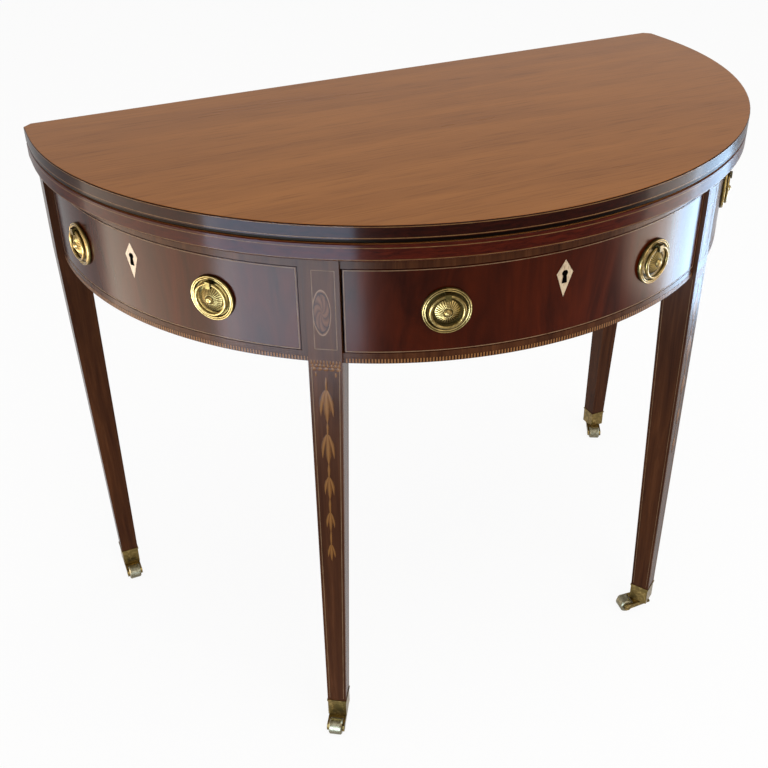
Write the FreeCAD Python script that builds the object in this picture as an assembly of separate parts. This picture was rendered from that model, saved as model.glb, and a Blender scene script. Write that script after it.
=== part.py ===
import FreeCAD, Part
import math
import os

# Demilune fold-over table in inlaid mahogany, in millimetres, +Z up.
# Origin on the floor below the middle of the bounding box, front towards -Y.

# Whole table
width = 914.0
height = 712.0
leaf_thickness = 18.5
leaf_gap = 0.8
leaf_corner_clip = 8.0
leaf_clip_share = 0.25
leaf_edge_round = 1.5
overrun = 5.0

# Hinges let into the back edges of the two leaves
hinge_barrel_radius = 2.5
hinge_pin_radius = 1.2
hinge_length = 38.0
hinge_plate_height = 14.0
hinge_plate_thickness = 1.6
hinge_inset = 62.0
hinge_knuckle_gap = 0.3
hinge_barrel_clearance = 0.3
hinge_screw_radius = 1.5
hinge_screw_head_radius = 2.6
hinge_screw_length = 14.0
hinge_screw_spacing = 22.0
hinge_screw_head = 1.0
hinge_screw_share = 0.6

# Curved frieze below the top
top_overhang = 17.0
frieze_thickness = 20.0
frieze_return_length = 6.0
frieze_height = 124.2
top_rail_height = 16.2
bottom_rail_height = 12.0
rail_thickness = 26.0
front_gap = 0.8
dummy_thickness = 4.0
dummy_end_margin = 7.0
glue_line = 0.05

# Straight back: fixed rail, knuckle rail and the two swinging rails
back_rail_thickness = 22.0
back_rail_inset = 40.0
fly_thickness = 24.0
fly_inset = 13.0
fly_height = 92.0
fly_top_gap = 2.2
knuckle_x = 60.0
knuckle_count = 5
knuckle_gap = 0.3
knuckle_clearance = 0.5
knuckle_pin_radius = 3.0
knuckle_pin_clearance = 0.05
knuckle_pin_extra = 1.0

# Front legs, set square to the curve
front_leg_angle = 32.4
front_leg_width = 35.6
front_leg_depth = 38.0
front_leg_proud = 4.5
foot_width = 23.5
foot_depth = 24.5

# Rear legs on the swinging rails
rear_leg_width = 36.0
rear_leg_depth = 36.0
rear_leg_overhang = 8.0
rear_leg_inset = 0.5
rear_leg_gap = 0.5

# Drawer in the middle of the frieze
drawer_half_angle = 29.8
drawer_front_thickness = 22.0
drawer_side_clearance = 6.8
drawer_side_thickness = 9.0
drawer_side_height = 86.0
drawer_back_thickness = 9.0
drawer_back_from_centre = 100.0
drawer_back_height = 74.0
drawer_bottom_thickness = 6.0
drawer_bottom_raise = 6.0
runner_width = 26.0
runner_overlap = 18.0
guide_width = 7.0
guide_height = 16.0
guide_clearance = 1.0
runner_clearance = 0.3
lock_width = 44.0
lock_height = 36.0
lock_thickness = 10.0
lock_top_margin = 6.0
lock_seat = 0.12

# Ring handles
handle_drop = 64.2
drawer_handle_angle = 16.4
side_handle_angle = 14.3
plate_radius = 25.5
plate_base = 1.6
plate_rim_radius = 23.6
plate_rim_height = 3.2
plate_dish_radius = 20.6
plate_step_radius = 13.0
plate_step_height = 3.0
boss_radius = 9.5
boss_height = 7.0
boss_nub_radius = 3.0
boss_nub_height = 9.0
boss_shoulder_share = 0.8
ring_radius = 17.4
ring_wire_radius = 1.8
ring_stand_off = 5.6
lug_width = 6.0
lug_size = 7.4
lug_bore_radius = 2.45
post_radius = 2.4
post_bore_clearance = 0.1
nut_radius = 5.5
nut_thickness = 3.5
post_extra = 1.0

# Bone escutcheons with keyholes
escutcheon_drop = 43.0
escutcheon_width = 19.0
escutcheon_height = 42.0
escutcheon_peak_share = 0.36
escutcheon_thickness = 2.0
escutcheon_proud = 0.25
escutcheon_clearance = 0.1
keyhole_radius = 2.8
keyhole_slot_top = 2.4
keyhole_slot_foot = 4.4
keyhole_slot_length = 10.0
keyhole_depth = 8.0
keyhole_drop = 1.0

# Brass castors
wheel_radius = 9.5
wheel_width = 16.4
wheel_edge = 1.4
wheel_bore_clearance = 0.08
axle_radius = 2.2
axle_fit = 0.02
axle_proud = 0.3
castor_trail = 25.0
fork_cheek = 2.6
fork_side_gap = 0.4
fork_plate_radius = 9.0
fork_plate_thickness = 3.0
fork_pin_radius = 3.0
fork_pin_clearance = 0.08
fork_head_radius = 5.0
fork_head_height = 2.5
fork_head_recess = 0.6
swivel_gap = 0.3
cup_bottom = 16.0
cup_floor = 3.0
cup_height = 27.0
cup_wall = 1.6
cup_fit = 0.05
cup_lip = 0.8
cup_lip_height = 2.4

# Castor directions as photographed, in degrees from +X
trail_front_left = 238.0
trail_front_right = 172.0
trail_rear_left = 270.0
trail_rear_right = 242.0

# Positions that follow from the sizes above
V = FreeCAD.Vector
half_width = width / 2
straight_back = rear_leg_inset + rear_leg_depth + rear_leg_gap + frieze_return_length
depth = half_width + straight_back
y_back = (depth + hinge_barrel_radius) / 2 - hinge_barrel_radius
y_centre = y_back - straight_back
z_joint = height - leaf_thickness - leaf_gap / 2
z_under = height - 2 * leaf_thickness - leaf_gap
z_frieze = z_under - frieze_height
z_rail_top = z_under - top_rail_height
z_rail_bottom = z_frieze + bottom_rail_height
z_handle = z_under - handle_drop
z_escutcheon = z_under - escutcheon_drop
cup_top = cup_bottom + cup_height
cup_inside = cup_bottom + cup_floor
frieze_radius = half_width - top_overhang
frieze_inner = frieze_radius - frieze_thickness
rail_inner = frieze_radius - rail_thickness
front_inner = frieze_radius - drawer_front_thickness
leg_face = frieze_radius + front_leg_proud
ring_y = -ring_stand_off
rear_y1 = y_back - rear_leg_inset
rear_y0 = rear_y1 - rear_leg_depth

os.makedirs("parts", exist_ok=True)


def save(shape, name):
    """Writes one node's solids to its STEP file."""
    shape.exportStep("parts/" + name + ".step")


def box(x0, x1, y0, y1, z0, z1):
    """A box between two corners."""
    return Part.makeBox(x1 - x0, y1 - y0, z1 - z0, V(x0, y0, z0))


def turned(shape, angle):
    """A copy turned about the centre of the table's curve; angle 0 faces the front."""
    copy = shape.copy()
    copy.rotate(V(0, y_centre, 0), V(0, 0, 1), angle)
    return copy


def mirrored(shape):
    """A copy mirrored from left to right."""
    return shape.mirror(V(0, 0, 0), V(1, 0, 0))


def sector(r0, r1, a0, a1, z0, z1):
    """A curved rail between two radii and two angles, measured from the front."""
    base = V(0, y_centre, z0)
    up = V(0, 0, 1)
    outer = Part.makeCylinder(r1, z1 - z0, base, up, a1 - a0)
    inner = Part.makeCylinder(r0, z1 - z0 + 2 * overrun, V(0, y_centre, z0 - overrun), up)
    return turned(outer.cut(inner), a0 - 90)


def drum(radius, z0, z1):
    """The full cylinder about the centre of the table's curve."""
    return Part.makeCylinder(radius, z1 - z0, V(0, y_centre, z0), V(0, 0, 1))


def prism(points, direction):
    """A solid swept straight from a closed outline."""
    wire = Part.makePolygon(points + [points[0]])
    return Part.Face(wire).extrude(direction)


def rectangle(x0, x1, y0, y1, z):
    """A closed level rectangle."""
    corners = [V(x0, y0, z), V(x1, y0, z), V(x1, y1, z), V(x0, y1, z)]
    return Part.makePolygon(corners + [corners[0]])


def revolved(profile, centre, axis):
    """A turned piece from a closed outline in the plane of its axis."""
    wire = Part.makePolygon(profile + [profile[0]])
    return Part.Face(wire).revolve(centre, axis, 360)


# Folding top


def leaf(z0, z1):
    """One half-round leaf with clipped back corners and softened rims."""
    outline = drum(half_width, z0, z1).common(
        box(-width, width, -depth, y_centre, z0, z1))
    tail = prism([
        V(-half_width, y_centre, z0),
        V(half_width, y_centre, z0),
        V(half_width, y_back - leaf_corner_clip, z0),
        V(half_width - leaf_corner_clip, y_back, z0),
        V(leaf_corner_clip - half_width, y_back, z0),
        V(-half_width, y_back - leaf_corner_clip, z0),
    ], V(0, 0, z1 - z0))
    solid = outline.fuse(tail).removeSplitter()
    rims = []
    for edge in solid.Edges:
        middle = edge.valueAt((edge.FirstParameter + edge.LastParameter) / 2)
        level = edge.BoundBox.ZLength < leaf_gap
        if level and middle.y < y_back - leaf_corner_clip * leaf_clip_share:
            rims.append(edge)
    return solid.makeFillet(leaf_edge_round, rims)


hinge_xs = (hinge_inset - half_width, half_width - hinge_inset)


def hinge_barrel(x, first, last):
    """Part of a hinge barrel, from one share of its length to another."""
    start = x - hinge_length / 2 + first * hinge_length
    long = (last - first) * hinge_length
    return Part.makeCylinder(hinge_barrel_radius, long, V(start, y_back, z_joint), V(1, 0, 0))


def hinge_bore(x, radius):
    """The run of a hinge pin or its bore."""
    long = hinge_length + 2 * overrun
    return Part.makeCylinder(radius, long, V(x - long / 2, y_back, z_joint), V(1, 0, 0))


def hinge_room(x):
    """The notch that a hinge barrel turns in."""
    long = hinge_length + 2 * hinge_barrel_clearance
    radius = hinge_barrel_radius + hinge_barrel_clearance
    return Part.makeCylinder(radius, long, V(x - long / 2, y_back, z_joint), V(1, 0, 0))


def hinge_plate(x, side):
    """The flat of a hinge on a leaf's back edge; side is 1 above the joint, -1 below."""
    near = z_joint + side * leaf_gap / 2
    far = near + side * hinge_plate_height
    z0, z1 = sorted((near, far))
    half = hinge_length / 2
    return box(x - half, x + half, y_back - hinge_plate_thickness, y_back, z0, z1)


def hinge_screw(x, side, grow):
    """A countersunk screw through a hinge plate into the leaf's edge."""
    z = z_joint + side * (leaf_gap / 2 + hinge_plate_height * hinge_screw_share)
    start = V(x, y_back, z)
    inward = V(0, -1, 0)
    head = Part.makeCone(
        hinge_screw_head_radius + grow, hinge_screw_radius + grow, hinge_screw_head, start, inward)
    shank = Part.makeCylinder(hinge_screw_radius + grow, hinge_screw_length, start, inward)
    return head.fuse(shank).removeSplitter()


def hinge_screws(side, grow):
    """All screws of one leaf's hinge plates."""
    screws = []
    for x in hinge_xs:
        for shift in (-hinge_screw_spacing / 2, hinge_screw_spacing / 2):
            screws.append(hinge_screw(x + shift, side, grow))
    return screws


third_shares = (0.0, 0.33, 0.67, 1.0)
knuckle_gap_share = hinge_knuckle_gap / hinge_length
upper_leaf = leaf(height - leaf_thickness, height)
lower_leaf = leaf(z_under, z_under + leaf_thickness)
upper_plates = []
lower_plates = []
hinge_pins = []
for x in hinge_xs:
    bore = hinge_bore(x, hinge_pin_radius + glue_line)
    outer_a = hinge_barrel(x, third_shares[0], third_shares[1])
    outer_b = hinge_barrel(x, third_shares[2], third_shares[3])
    inner = hinge_barrel(
        x, third_shares[1] + knuckle_gap_share, third_shares[2] - knuckle_gap_share)
    room_inner = Part.makeCylinder(
        hinge_barrel_radius + hinge_knuckle_gap,
        (third_shares[2] - third_shares[1]) * hinge_length,
        V(x - hinge_length / 2 + third_shares[1] * hinge_length, y_back, z_joint), V(1, 0, 0))
    room_outer = hinge_room(x).cut(hinge_barrel(
        x, third_shares[1] + knuckle_gap_share, third_shares[2] - knuckle_gap_share))
    upper = hinge_plate(x, 1).cut(room_inner).fuse([outer_a, outer_b])
    lower = hinge_plate(x, -1).cut(room_outer).fuse(inner)
    for screw in hinge_screws(1, glue_line):
        upper = upper.cut(screw)
    for screw in hinge_screws(-1, glue_line):
        lower = lower.cut(screw)
    upper_plates.append(upper.cut(bore).removeSplitter())
    lower_plates.append(lower.cut(bore).removeSplitter())
    pin = Part.makeCylinder(
        hinge_pin_radius, hinge_length, V(x - hinge_length / 2, y_back, z_joint), V(1, 0, 0))
    hinge_pins.append(pin)
    upper_leaf = upper_leaf.cut(hinge_room(x)).cut(hinge_plate(x, 1))
    lower_leaf = lower_leaf.cut(hinge_room(x)).cut(hinge_plate(x, -1))
for screw in hinge_screws(1, glue_line):
    upper_leaf = upper_leaf.cut(screw)
for screw in hinge_screws(-1, glue_line):
    lower_leaf = lower_leaf.cut(screw)
save(upper_leaf, "upper_leaf")
save(lower_leaf, "lower_leaf")
save(Part.makeCompound(upper_plates), "top_hinge_upper_plates")
save(Part.makeCompound(lower_plates), "top_hinge_lower_plates")
save(Part.makeCompound(hinge_pins), "top_hinge_pins")
save(Part.makeCompound(hinge_screws(1, 0)), "top_hinge_upper_screws")
save(Part.makeCompound(hinge_screws(-1, 0)), "top_hinge_lower_screws")

# Castors, built with the swivel at the origin and the wheel trailing along +X


def castor_wheel():
    """Barrel wheel with eased edges and a bore."""
    half = wheel_width / 2
    inner = axle_radius + wheel_bore_clearance
    profile = [
        V(inner, -half, 0),
        V(wheel_radius - wheel_edge, -half, 0),
        V(wheel_radius, wheel_edge - half, 0),
        V(wheel_radius, half - wheel_edge, 0),
        V(wheel_radius - wheel_edge, half, 0),
        V(inner, half, 0),
    ]
    wheel = revolved(profile, V(0, 0, 0), V(0, 1, 0))
    wheel.translate(V(castor_trail, 0, wheel_radius))
    return wheel


cheek_inner = wheel_width / 2 + fork_side_gap
cheek_outer = cheek_inner + fork_cheek


def castor_axle():
    """The riveted axle through both cheeks."""
    half = cheek_outer + axle_proud
    return Part.makeCylinder(
        axle_radius, 2 * half, V(castor_trail, -half, wheel_radius), V(0, 1, 0))


def castor_fork():
    """Swivel plate with its pin, and the two cheeks that carry the axle."""
    plate_top = cup_bottom - swivel_gap
    plate_bottom = plate_top - fork_plate_thickness
    up = V(0, 0, 1)
    plate = Part.makeCylinder(fork_plate_radius, fork_plate_thickness, V(0, 0, plate_bottom), up)
    head_base = cup_inside + swivel_gap
    pin = Part.makeCylinder(fork_pin_radius, head_base - plate_top, V(0, 0, plate_top), up)
    head = Part.makeCylinder(fork_head_radius, fork_head_height, V(0, 0, head_base), up)
    eye = axle_radius + fork_cheek
    solid = plate.fuse([pin, head])
    for y in (-cheek_outer, cheek_inner):
        outline = [
            V(-fork_plate_radius, y, plate_top - swivel_gap),
            V(fork_plate_radius, y, plate_top - swivel_gap),
            V(castor_trail + eye / 2, y, wheel_radius + eye),
            V(castor_trail + eye, y, wheel_radius + eye / 2),
            V(castor_trail + eye, y, wheel_radius - eye / 2),
            V(castor_trail + eye / 2, y, wheel_radius - eye),
            V(castor_trail - eye / 2, y, wheel_radius - eye),
            V(castor_trail - eye, y, wheel_radius - eye / 2),
            V(-fork_plate_radius, y, plate_bottom - swivel_gap),
        ]
        solid = solid.fuse(prism(outline, V(0, fork_cheek, 0)))
    bridge = box(
        -fork_plate_radius / 2, fork_plate_radius / 2, -cheek_outer, cheek_outer,
        plate_bottom, plate_top - swivel_gap)
    solid = solid.fuse(bridge)
    bore_length = 2 * cheek_outer + 2 * overrun
    bore = Part.makeCylinder(
        axle_radius + axle_fit, bore_length,
        V(castor_trail, -bore_length / 2, wheel_radius), V(0, 1, 0))
    return solid.cut(bore).removeSplitter()


def castor_cup(x0, x1, y0, y1):
    """Square brass socket with a lip, its floor bored for the swivel pin."""
    wall = cup_wall
    lip = box(
        x0 - cup_lip, x1 + cup_lip, y0 - cup_lip, y1 + cup_lip, cup_top - cup_lip_height, cup_top)
    outer = box(x0, x1, y0, y1, cup_bottom, cup_top).fuse(lip).removeSplitter()
    inside = box(x0 + wall, x1 - wall, y0 + wall, y1 - wall, cup_inside, cup_top + overrun)
    centre = V((x0 + x1) / 2, (y0 + y1) / 2, cup_bottom - overrun)
    bore = Part.makeCylinder(
        fork_pin_radius + fork_pin_clearance, cup_floor + 2 * overrun, centre, V(0, 0, 1))
    return outer.cut(inside).cut(bore)


def foot_room(x0, x1, y0, y1):
    """What is taken off a leg's foot so that it sits inside its cup."""
    wall = cup_wall + cup_fit
    shell = box(
        x0 - overrun, x1 + overrun, y0 - overrun, y1 + overrun, cup_inside, cup_top)
    tenon = box(x0 + wall, x1 - wall, y0 + wall, y1 - wall, cup_inside, cup_top)
    centre = V((x0 + x1) / 2, (y0 + y1) / 2, cup_inside - overrun)
    deep = overrun + swivel_gap + fork_head_height + fork_head_recess
    recess = Part.makeCylinder(fork_head_radius + fork_head_recess, deep, centre, V(0, 0, 1))
    return shell.cut(tenon).fuse(recess)


def tapered_leg(top, foot, z_top):
    """A square leg: a straight head down to the frieze's foot, then tapered to its cup."""
    x0, x1, y0, y1 = top
    u0, u1, v0, v1 = foot
    head = box(x0, x1, y0, y1, z_frieze, z_top)
    shaft = Part.makeLoft(
        [rectangle(x0, x1, y0, y1, z_frieze), rectangle(u0, u1, v0, v1, cup_top)], True, True)
    tenon = box(u0, u1, v0, v1, cup_inside, cup_top)
    leg = head.fuse([shaft, tenon]).removeSplitter()
    return leg.cut(foot_room(u0, u1, v0, v1))


def place(shape, x, y, yaw):
    """A castor piece turned to its trailing direction and set below its leg."""
    copy = shape.copy()
    copy.rotate(V(0, 0, 0), V(0, 0, 1), yaw)
    copy.translate(V(x, y, 0))
    return copy


def save_castor(name, x, y, yaw):
    """Fork, axle and wheel of one castor."""
    save(place(castor_fork(), x, y, yaw), "castor_fork_" + name)
    save(place(castor_axle(), x, y, yaw), "castor_axle_" + name)
    save(place(castor_wheel(), x, y, yaw), "castor_wheel_" + name)


# Front legs, square to the curve, tapered on their inner and back faces
half_leg = front_leg_width / 2
leg_front = y_centre - leg_face
front_top = (-half_leg, half_leg, leg_front, leg_front + front_leg_depth)
front_foot = (-half_leg, foot_width - half_leg, leg_front, leg_front + foot_depth)
front_leg = tapered_leg(front_top, front_foot, z_under)
front_cup = castor_cup(*front_foot)
front_block = box(
    -half_leg, half_leg, leg_front, leg_front + front_leg_depth, z_frieze - overrun, height)
leg_left = turned(front_leg, -front_leg_angle)
cup_left = turned(front_cup, -front_leg_angle)
save(leg_left, "front_leg_left")
save(mirrored(leg_left), "front_leg_right")
save(cup_left, "castor_cup_front_left")
save(mirrored(cup_left), "castor_cup_front_right")
foot_local_x = (front_foot[0] + front_foot[1]) / 2
foot_local_y = (front_foot[2] + front_foot[3]) / 2 - y_centre
turn = math.radians(-front_leg_angle)
foot_x = foot_local_x * math.cos(turn) - foot_local_y * math.sin(turn)
foot_y = y_centre + foot_local_x * math.sin(turn) + foot_local_y * math.cos(turn)
save_castor("front_left", foot_x, foot_y, trail_front_left)
save_castor("front_right", -foot_x, foot_y, trail_front_right)

# Rear legs, tapered on their outer and front faces, each on its own swinging rail
rear_x0 = rear_leg_overhang - half_width
rear_x1 = rear_x0 + rear_leg_width
rear_top = (rear_x0, rear_x1, rear_y0, rear_y1)
rear_foot = (rear_x1 - foot_width, rear_x1, rear_y1 - foot_depth, rear_y1)
rear_leg = tapered_leg(rear_top, rear_foot, z_under - rear_leg_gap)
rear_cup = castor_cup(*rear_foot)
save(rear_leg, "rear_leg_left")
save(mirrored(rear_leg), "rear_leg_right")
save(rear_cup, "castor_cup_rear_left")
save(mirrored(rear_cup), "castor_cup_rear_right")
rear_x = (rear_foot[0] + rear_foot[1]) / 2
rear_y = (rear_foot[2] + rear_foot[3]) / 2
save_castor("rear_left", rear_x, rear_y, trail_rear_left)
save_castor("rear_right", -rear_x, rear_y, trail_rear_right)

# Escutcheons and ring handles, built at the front and turned into place


def kite(grow):
    """Outline of an escutcheon on the drawer's face, widest above its middle."""
    y = y_centre - frieze_radius - escutcheon_proud
    top = z_escutcheon + escutcheon_height * escutcheon_peak_share + grow
    foot = z_escutcheon - escutcheon_height * (1 - escutcheon_peak_share) - grow
    half = escutcheon_width / 2 + grow
    return [V(0, y, top), V(half, y, z_escutcheon), V(0, y, foot), V(-half, y, z_escutcheon)]


def keyhole(deep):
    """Round hole with a flared slot below it."""
    y = y_centre - frieze_radius - escutcheon_proud - overrun
    hole = Part.makeCylinder(keyhole_radius, deep, V(0, y, z_escutcheon - keyhole_drop), V(0, 1, 0))
    top = z_escutcheon - keyhole_drop
    foot = top - keyhole_slot_length
    slot = prism([
        V(-keyhole_slot_top / 2, y, top),
        V(keyhole_slot_top / 2, y, top),
        V(keyhole_slot_foot / 2, y, foot),
        V(-keyhole_slot_foot / 2, y, foot),
    ], V(0, deep, 0))
    return hole.fuse(slot).removeSplitter()


escutcheon = prism(kite(0), V(0, escutcheon_thickness, 0)).cut(keyhole(2 * overrun))
escutcheon_room = prism(kite(escutcheon_clearance), V(0, escutcheon_thickness, 0))
keyhole_room = keyhole(overrun + keyhole_depth)


def handle_plate(through):
    """Cast back plate with mouldings, boss, lug and a threaded post through the wood."""
    y = y_centre - frieze_radius
    profile = [
        V(0, 0, 0),
        V(plate_radius, 0, 0),
        V(plate_radius, -plate_base, 0),
        V(plate_rim_radius, -plate_rim_height, 0),
        V(plate_dish_radius, -plate_base, 0),
        V(plate_step_radius, -plate_base, 0),
        V((plate_step_radius + boss_radius) / 2, -plate_step_height, 0),
        V(boss_radius, -plate_step_height, 0),
        V(boss_radius * boss_shoulder_share, -(plate_step_height + boss_height) / 2, 0),
        V(boss_nub_radius, -boss_height, 0),
        V(boss_nub_radius * boss_shoulder_share, -boss_nub_height, 0),
        V(0, -boss_nub_height, 0),
    ]
    plate = revolved(profile, V(0, 0, 0), V(0, 1, 0))
    half = lug_width / 2
    reach = ring_stand_off + lug_size / 2
    lug = box(
        -half, half, -reach, 0, ring_radius - lug_size / 2, ring_radius + lug_size / 2)
    bore = Part.makeCylinder(
        lug_bore_radius, lug_width + 2 * overrun,
        V(-half - overrun, ring_y, ring_radius), V(1, 0, 0))
    post = Part.makeCylinder(
        post_radius, through + nut_thickness + post_extra, V(0, 0, 0), V(0, 1, 0))
    solid = plate.fuse([lug, post]).cut(bore).removeSplitter()
    solid.translate(V(0, y, z_handle))
    return solid


def handle_nut(through):
    """Square nut on the back of the wood."""
    y = y_centre - frieze_radius + through
    half = nut_radius
    nut = box(-half, half, y, y + nut_thickness, z_handle - half, z_handle + half)
    bore = Part.makeCylinder(
        post_radius + glue_line, nut_thickness + 2 * overrun,
        V(0, y - overrun, z_handle), V(0, 1, 0))
    return nut.cut(bore)


def handle_bore(through):
    """The hole for a handle's post."""
    y = y_centre - frieze_radius
    return Part.makeCylinder(
        post_radius + post_bore_clearance, through + 2 * overrun,
        V(0, y - overrun, z_handle), V(0, 1, 0))


def handle_ring():
    """Ring bail hanging through the lug."""
    y = y_centre - frieze_radius + ring_y
    return Part.makeTorus(ring_radius, ring_wire_radius, V(0, y, z_handle), V(0, 1, 0))


# A flat nut touches the curved back of the wood along its two sides
nut_seat_side = frieze_radius - math.sqrt(frieze_inner ** 2 - nut_radius ** 2) + glue_line
nut_seat_drawer = frieze_radius - math.sqrt(front_inner ** 2 - nut_radius ** 2) + glue_line

# Side friezes with dummy drawer fronts
leg_half_angle = math.degrees(math.asin(half_leg / frieze_radius))
dummy_margin = math.degrees(dummy_end_margin / frieze_radius)
gap_angle = math.degrees(front_gap / frieze_radius)
dummy_a0 = dummy_margin - 90
dummy_a1 = -front_leg_angle - leg_half_angle - dummy_margin
side_middle = (dummy_a0 + dummy_a1) / 2
side_handles = (side_middle - side_handle_angle, side_middle + side_handle_angle)

frieze_left = sector(frieze_inner, frieze_radius, -90, -front_leg_angle, z_frieze, z_under)
frieze_return = box(
    -frieze_radius, -frieze_inner, y_centre, rear_y0 - rear_leg_gap, z_frieze, z_under)
frieze_left = frieze_left.fuse(frieze_return).removeSplitter()
frieze_left = frieze_left.cut(turned(front_block, -front_leg_angle))
dummy_back = frieze_radius - dummy_thickness
dummy_room = sector(
    dummy_back, frieze_radius + overrun, dummy_a0, dummy_a1, z_rail_bottom, z_rail_top)
dummy_left = sector(
    dummy_back + glue_line, frieze_radius, dummy_a0 + gap_angle, dummy_a1 - gap_angle,
    z_rail_bottom + front_gap, z_rail_top - front_gap)
frieze_left = frieze_left.cut(dummy_room)
plates_left = []
nuts_left = []
rings_left = []
for angle in side_handles:
    hole = turned(handle_bore(frieze_thickness), angle)
    frieze_left = frieze_left.cut(hole)
    dummy_left = dummy_left.cut(hole)
    plates_left.append(turned(handle_plate(nut_seat_side), angle))
    nuts_left.append(turned(handle_nut(nut_seat_side), angle))
    rings_left.append(turned(handle_ring(), angle))
dummy_left = dummy_left.cut(turned(escutcheon_room, side_middle))
dummy_left = dummy_left.cut(turned(keyhole_room, side_middle))
frieze_left = frieze_left.cut(turned(keyhole_room, side_middle))
escutcheon_left = turned(escutcheon, side_middle)
save(frieze_left, "frieze_left")
save(mirrored(frieze_left), "frieze_right")
save(dummy_left, "dummy_front_left")
save(mirrored(dummy_left), "dummy_front_right")
save(escutcheon_left, "escutcheon_left")
save(mirrored(escutcheon_left), "escutcheon_right")
save(Part.makeCompound(plates_left), "handle_plates_left")
save(Part.makeCompound([mirrored(plate) for plate in plates_left]), "handle_plates_right")
save(rings_left[0], "handle_ring_left_outer")
save(rings_left[1], "handle_ring_left_inner")
save(mirrored(rings_left[0]), "handle_ring_right_outer")
save(mirrored(rings_left[1]), "handle_ring_right_inner")
side_nuts = nuts_left + [mirrored(nut) for nut in nuts_left]
save(Part.makeCompound(side_nuts), "handle_nuts_frieze")

# Rails above and below the drawer
leg_blocks = [turned(front_block, -front_leg_angle), turned(front_block, front_leg_angle)]
top_rail = sector(
    rail_inner, frieze_radius, -front_leg_angle, front_leg_angle, z_rail_top, z_under)
bottom_rail = sector(
    rail_inner, frieze_radius, -front_leg_angle, front_leg_angle, z_frieze, z_rail_bottom)
for block in leg_blocks:
    top_rail = top_rail.cut(block)
    bottom_rail = bottom_rail.cut(block)
save(top_rail, "top_rail")
save(bottom_rail, "bottom_rail")

# Straight back
back_y1 = y_back - back_rail_inset
back_y0 = back_y1 - back_rail_thickness
back_rail = box(-half_width, half_width, back_y0, back_y1, z_frieze, z_under)
back_rail = back_rail.common(drum(frieze_inner, z_frieze, z_under))
save(back_rail, "back_rail")

fly_y1 = y_back - fly_inset
fly_y0 = fly_y1 - fly_thickness
fly_y = (fly_y0 + fly_y1) / 2
fly_z1 = z_under - fly_top_gap
fly_z0 = fly_z1 - fly_height
knuckle_radius = fly_thickness / 2
knuckle_step = fly_height / knuckle_count


def knuckles(x, radius, first, gap):
    """Every second knuckle of a wooden hinge, as stacked discs about its pin."""
    discs = []
    for index in range(first, knuckle_count, 2):
        z0 = fly_z0 + index * knuckle_step
        z1 = z0 + knuckle_step
        bottom = z0 + (gap if index > 0 else 0)
        top = z1 - (gap if index < knuckle_count - 1 else 0)
        base = V(x, fly_y, bottom)
        discs.append(Part.makeCylinder(radius, top - bottom, base, V(0, 0, 1)))
    return discs


def knuckle_bore(x, radius):
    """The run of a knuckle pin or its bore."""
    z0 = fly_z0 - overrun
    return Part.makeCylinder(radius, fly_height + 2 * overrun, V(x, fly_y, z0), V(0, 0, 1))


def knuckle_bevel(x, side):
    """The wedge off a rail's shoulder that lets the swinging rail turn square to the back."""
    z0 = fly_z0 - overrun
    start = x + side * knuckle_clearance
    near = start - side * fly_thickness
    far = start + side * fly_thickness
    return prism([
        V(start, fly_y, z0),
        V(far, fly_y + fly_thickness, z0),
        V(near, fly_y + fly_thickness, z0),
        V(near, fly_y, z0),
    ], V(0, 0, fly_height + 2 * overrun))


room_radius = knuckle_radius + knuckle_clearance
hinge_rail = box(-knuckle_x, knuckle_x, fly_y0, fly_y1, fly_z0, fly_z1)
hinge_rail = hinge_rail.fuse(
    box(-knuckle_x + room_radius + overrun, knuckle_x - room_radius - overrun,
        back_y1, fly_y1, fly_z0, fly_z1))
hinge_rail = hinge_rail.cut(knuckle_bevel(-knuckle_x, 1)).cut(knuckle_bevel(knuckle_x, -1))
fly_left = box(rear_x1, -knuckle_x, fly_y0, fly_y1, fly_z0, fly_z1)
fly_left = fly_left.cut(knuckle_bevel(-knuckle_x, -1))
for x in (-knuckle_x, knuckle_x):
    hinge_rail = hinge_rail.fuse(knuckles(x, knuckle_radius, 0, 0))
    for disc in knuckles(x, room_radius, 1, -knuckle_gap):
        hinge_rail = hinge_rail.cut(disc)
    hinge_rail = hinge_rail.cut(knuckle_bore(x, knuckle_pin_radius + knuckle_pin_clearance))
fly_left = fly_left.fuse(knuckles(-knuckle_x, knuckle_radius, 1, 0))
for disc in knuckles(-knuckle_x, room_radius, 0, -knuckle_gap):
    fly_left = fly_left.cut(disc)
fly_left = fly_left.cut(knuckle_bore(-knuckle_x, knuckle_pin_radius + knuckle_pin_clearance))
save(hinge_rail.removeSplitter(), "knuckle_rail")
save(fly_left.removeSplitter(), "fly_rail_left")
save(mirrored(fly_left.removeSplitter()), "fly_rail_right")
pins = []
for x in (-knuckle_x, knuckle_x):
    pins.append(Part.makeCylinder(
        knuckle_pin_radius, fly_height + 2 * knuckle_pin_extra,
        V(x, fly_y, fly_z0 - knuckle_pin_extra), V(0, 0, 1)))
save(Part.makeCompound(pins), "knuckle_pins")

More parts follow.
